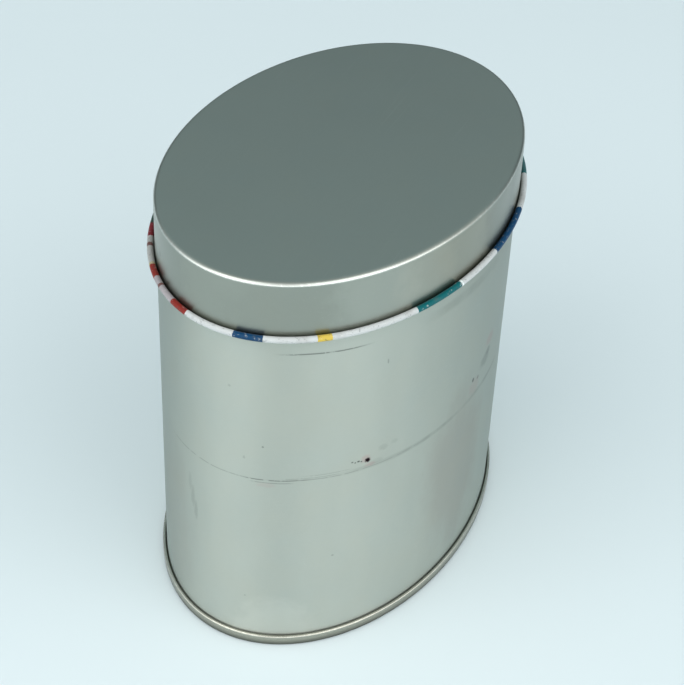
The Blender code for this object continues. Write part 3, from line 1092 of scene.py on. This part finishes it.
def draw_profile(name, line, inner_side, closed):
    """A small mesh of points and edges, with 1 marked on the points of the sheet's inner face."""
    left, right = line.faces()
    points = left + right
    marks = [float(inner_side == "left")] * len(left)
    marks += [float(inner_side == "right")] * len(right)
    edges = [(i, i + 1) for i in range(len(points) - 1)]
    if closed:
        edges.append((len(points) - 1, 0))
    mesh = bpy.data.meshes.new(name)
    mesh.from_pydata([(outside, -height, 0.0) for outside, height in points], edges, [])
    mesh.attributes.new(INNER_FACE, "FLOAT", "POINT").data.foreach_set("value", marks)
    made = bpy.data.objects.new(name, mesh)
    bpy.context.scene.collection.objects.link(made)
    return made


def sweep_sheet(name, line, inner_side, closed, outer, inner, **inputs):
    """The named inputs are the tree's own, written with _ for each space."""
    shell = draw_profile(name, line, inner_side, closed)
    modifier = shell.modifiers.new("sweep", "NODES")
    modifier.node_group = sheet_tree
    chosen = {"Outer Material": outer, "Inner Material": inner}
    chosen.update({title.replace("_", " "): value for title, value in inputs.items()})
    for socket in sheet_tree.interface.items_tree:
        if socket.in_out == "INPUT" and socket.name in chosen:
            modifier[socket.identifier] = chosen.pop(socket.name)
    assert not chosen, chosen
    evaluated = shell.evaluated_get(bpy.context.evaluated_depsgraph_get())
    mesh = bpy.data.meshes.new_from_object(evaluated)
    shell.modifiers.clear()
    shell.data = mesh
    mesh.name = name
    turned = bmesh.new()
    turned.from_mesh(mesh)
    bmesh.ops.recalc_face_normals(turned, faces=turned.faces)
    open_edges = sum(not edge.is_manifold for edge in turned.edges)
    turned.to_mesh(mesh)
    turned.free()
    mesh.shade_smooth()
    mesh.set_sharp_from_angle(angle=SHARP_FROM)
    mesh.calc_loop_triangles()
    print(name, len(mesh.loop_triangles), "triangles,", open_edges, "open edges")
    return shell

# %% [markdown]
# The lid. On the real tin it is one disc of sheet, pressed over a block. A sweep leaves its middle
# open, and a grid of faces could fill that, but the top is flat, so two single faces are enough:
# one on top and one a thickness below. The narrow flat rim in the cross-section keeps the bend's
# shading from spreading into them.

# %% The lid
lid_shell = sweep_sheet(
    "lid_shell", lid_line(), "right", False, lid_outside, lid_print,
    Panels=True, Panel_Outside=-LID_EDGE_RADIUS - FLAT_RIM,
    Upper_Height=TIN_HEIGHT, Lower_Height=TIN_HEIGHT - SHEET,
)
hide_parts("lid")
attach(lid_shell, "lid")

# %% [markdown]
# The body. On the real tin it is one strip, bent round and hooked to itself in a side seam. Here
# its cross-section is a closed outline with both faces of the sheet, so it needs no panels. The
# seam could be a strip laid on top, but it is the same sheet, so it is pressed into the sweep.
# No seam shows in front, so it is at the back.

# %% The body
body_shell = sweep_sheet(
    "body_shell", body_line(), "left", True, body_outside, body_inside, Side_Seam=1.0,
)
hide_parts("body_wall")
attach(body_shell, "tin")

# %% [markdown]
# The base. On the real tin it is a second pressing, whose rim two rollers fold round the body's
# foot. It is swept as the lid is, with two panels. Its clean face is the upper one, inside the
# tin, so the panels' marks are the other way round.

# %% The base
base = base_line()
panel_height = base.points[0][1]
base_shell = sweep_sheet(
    "base_shell", base, "left", False, base_outside, base_inside,
    Panels=True, Panel_Outside=-BASE_STEP_INSET - FLAT_RIM, Upper_Is_Inner=1.0,
    Upper_Height=panel_height + SHEET / 2, Lower_Height=panel_height - SHEET / 2,
)
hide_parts("bottom_end")
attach(base_shell, "tin")

# %% [markdown]
# The floor. Metal shows what is round it, so the board that the tin stands on matters: the walls
# reflect it, and its shade comes back in them. It could be a curved backdrop, but a flat matt
# board looks the same from every side. It is wide enough that its far edge stays out of the
# picture in any view from more than a little above it.

# %% Floor
FLOOR_HALF = 30.0
FLOOR_COLOUR = srgb(219, 230, 233)
FLOOR_OTHER_COLOUR = srgb(221, 232, 235)
FLOOR_PATCHES = (3.0, 2.0, 0.5, 0.3, 0.7)
FLOOR_ROUGHNESS = 0.85
FLOOR_SPECULAR = 0.2


def make_floor():
    mesh = bpy.data.meshes.new("floor")
    signs = ((-1, -1), (1, -1), (1, 1), (-1, 1))
    corners = [(x * FLOOR_HALF, y * FLOOR_HALF, 0.0) for x, y in signs]
    mesh.from_pydata(corners, [], [(0, 1, 2, 3)])
    floor = bpy.data.objects.new("floor", mesh)
    bpy.context.scene.collection.objects.link(floor)
    material, tree, shader, position = new_material("pale_board")
    tone = patches(tree, position, *FLOOR_PATCHES)
    colour = mixed(tree, tone, FLOOR_COLOUR, FLOOR_OTHER_COLOUR)
    tree.links.new(colour, shader.inputs["Base Color"])
    shader.inputs["Roughness"].default_value = FLOOR_ROUGHNESS
    shader.inputs["Specular IOR Level"].default_value = FLOOR_SPECULAR
    mesh.materials.append(material)


make_floor()
print("floor half size in m:", FLOOR_HALF)

# %% [markdown]
# The room. Its front half, on the camera's side, is bright like a wall with windows, and that is
# what the tin's walls shine with. Its back half is dim near the horizon, and the lid's top, seen
# from the front, reflects that, which is why a bright metal lid looks dark grey. A picture of a
# room would do the same, but two colour ramps say plainly what the metal sees: one from the
# horizon up for each half, mixed by how far a direction faces the front.

# %% World
BACK_STOPS = (
    (0.00, (0.06, 0.07, 0.07, 1.0)),
    (0.15, (0.10, 0.12, 0.12, 1.0)),
    (0.35, (0.21, 0.27, 0.29, 1.0)),
    (0.60, (0.50, 0.655, 0.71, 1.0)),
    (0.85, (0.5, 0.58, 0.6, 1.0)),
    (1.00, (0.6, 0.66, 0.68, 1.0)),
)
FRONT_STOPS = (
    (0.00, (2.3, 2.4, 2.4, 1.0)),
    (0.15, (2.5, 2.6, 2.6, 1.0)),
    (0.35, (1.9, 1.95, 1.95, 1.0)),
    (0.60, (1.0, 1.0, 1.0, 1.0)),
    (0.85, (0.7, 0.74, 0.74, 1.0)),
    (1.00, (0.6, 0.66, 0.68, 1.0)),
)
FRONT_BEARING = 201.27
FRONT_EDGE = (-0.7, 0.35)


def sky_ramp(tree, up, rows):
    ramp = tree.nodes.new("ShaderNodeValToRGB")
    stops = ramp.color_ramp.elements
    while len(stops) < len(rows):
        stops.new(0.5)
    for stop, (position, colour) in zip(stops, rows):
        stop.position = position
        stop.color = colour
    tree.links.new(up, ramp.inputs[0])
    return ramp.outputs["Color"]


def make_world():
    world = bpy.data.worlds.new("room")
    world.use_nodes = True
    tree = world.node_tree
    direction = tree.nodes.new("ShaderNodeTexCoord").outputs["Generated"]
    up = add_node(tree, "ShaderNodeSeparateXYZ", {0: direction}).outputs["Z"]
    bearing = math.radians(FRONT_BEARING)
    inputs = {0: direction, 1: (math.cos(bearing), math.sin(bearing), 0.0)}
    facing = add_node(tree, "ShaderNodeVectorMath", inputs, operation="DOT_PRODUCT")
    share = share_between(tree, facing.outputs["Value"], *FRONT_EDGE)
    colour = mixed(tree, share, sky_ramp(tree, up, BACK_STOPS), sky_ramp(tree, up, FRONT_STOPS))
    tree.links.new(colour, tree.nodes["Background"].inputs["Color"])
    bpy.context.scene.world = world


make_world()
print("front of the room faces", FRONT_BEARING, "degrees")

# %% [markdown]
# Two lamps stand either side of the camera, 0.7 m from the tin and 50 degrees up. They make the
# thin bright line on the lid's bend and the gloss on the seam round the foot, and with the world
# they light a white sheet on the floor to just under white. Small lamps would leave hard sparks
# on the metal, so these are soft boxes. A row is a name, a bearing, an elevation and a power in
# watts.

# %% Lamps
LAMPS = (
    ("left_softbox", 156.3, 50.0, 0.95),
    ("right_softbox", 246.3, 50.0, 0.75),
)
LAMP_DISTANCE = 0.7
LAMP_SIDE = 0.45


def make_lamp(name, bearing, elevation, power):
    light = bpy.data.lights.new(name, "AREA")
    light.shape = "SQUARE"
    light.size = LAMP_SIDE
    light.energy = power
    lamp = bpy.data.objects.new(name, light)
    turned = Matrix.Rotation(math.radians(bearing), 3, "Z")
    raised = Matrix.Rotation(math.radians(-elevation), 3, "Y")
    lamp.location = turned @ raised @ Vector((LAMP_DISTANCE, 0, 0))
    middle = Vector((0, 0, TIN_HEIGHT / 2))
    lamp.rotation_euler = (middle - lamp.location).to_track_quat("-Z", "Y").to_euler()
    bpy.context.scene.collection.objects.link(lamp)


for lamp in LAMPS:
    make_lamp(*lamp)
print("lamps:", [name for name, *_ in LAMPS])

# %% [markdown]
# The camera. Its place and angles come from fitting the oval's edges to their outlines, and its
# focal length is given in pixels of the frame, which has 684 by 685 of them. The bearing is
# measured from the oval's long axis.

# %% Camera
FRAME_SIDE = 685
SENSOR = 36.0
FOCAL_PIXELS = 1598.25
CAMERA_PLACE = Vector((-327.23, -128.43, 304.87)) * MM
CAMERA_BEARING = 21.267
CAMERA_PITCH = 35.771
CAMERA_ROLL = 2.604
NEAREST_SEEN = 10 * MM


def make_camera():
    lens = bpy.data.cameras.new("camera")
    lens.sensor_width = SENSOR
    lens.lens = FOCAL_PIXELS / FRAME_SIDE * SENSOR
    lens.clip_start = NEAREST_SEEN
    camera = bpy.data.objects.new("camera", lens)
    bearing = Matrix.Rotation(math.radians(CAMERA_BEARING - 90), 4, "Z")
    pitch = Matrix.Rotation(math.radians(90 - CAMERA_PITCH), 4, "X")
    roll = Matrix.Rotation(math.radians(CAMERA_ROLL), 4, "Z")
    camera.matrix_world = Matrix.Translation(CAMERA_PLACE) @ bearing @ pitch @ roll
    bpy.context.scene.collection.objects.link(camera)
    bpy.context.scene.camera = camera
    return camera


camera = make_camera()
bpy.context.scene.view_settings.view_transform = "Standard"
print("lens in mm:", round(camera.data.lens, 2))
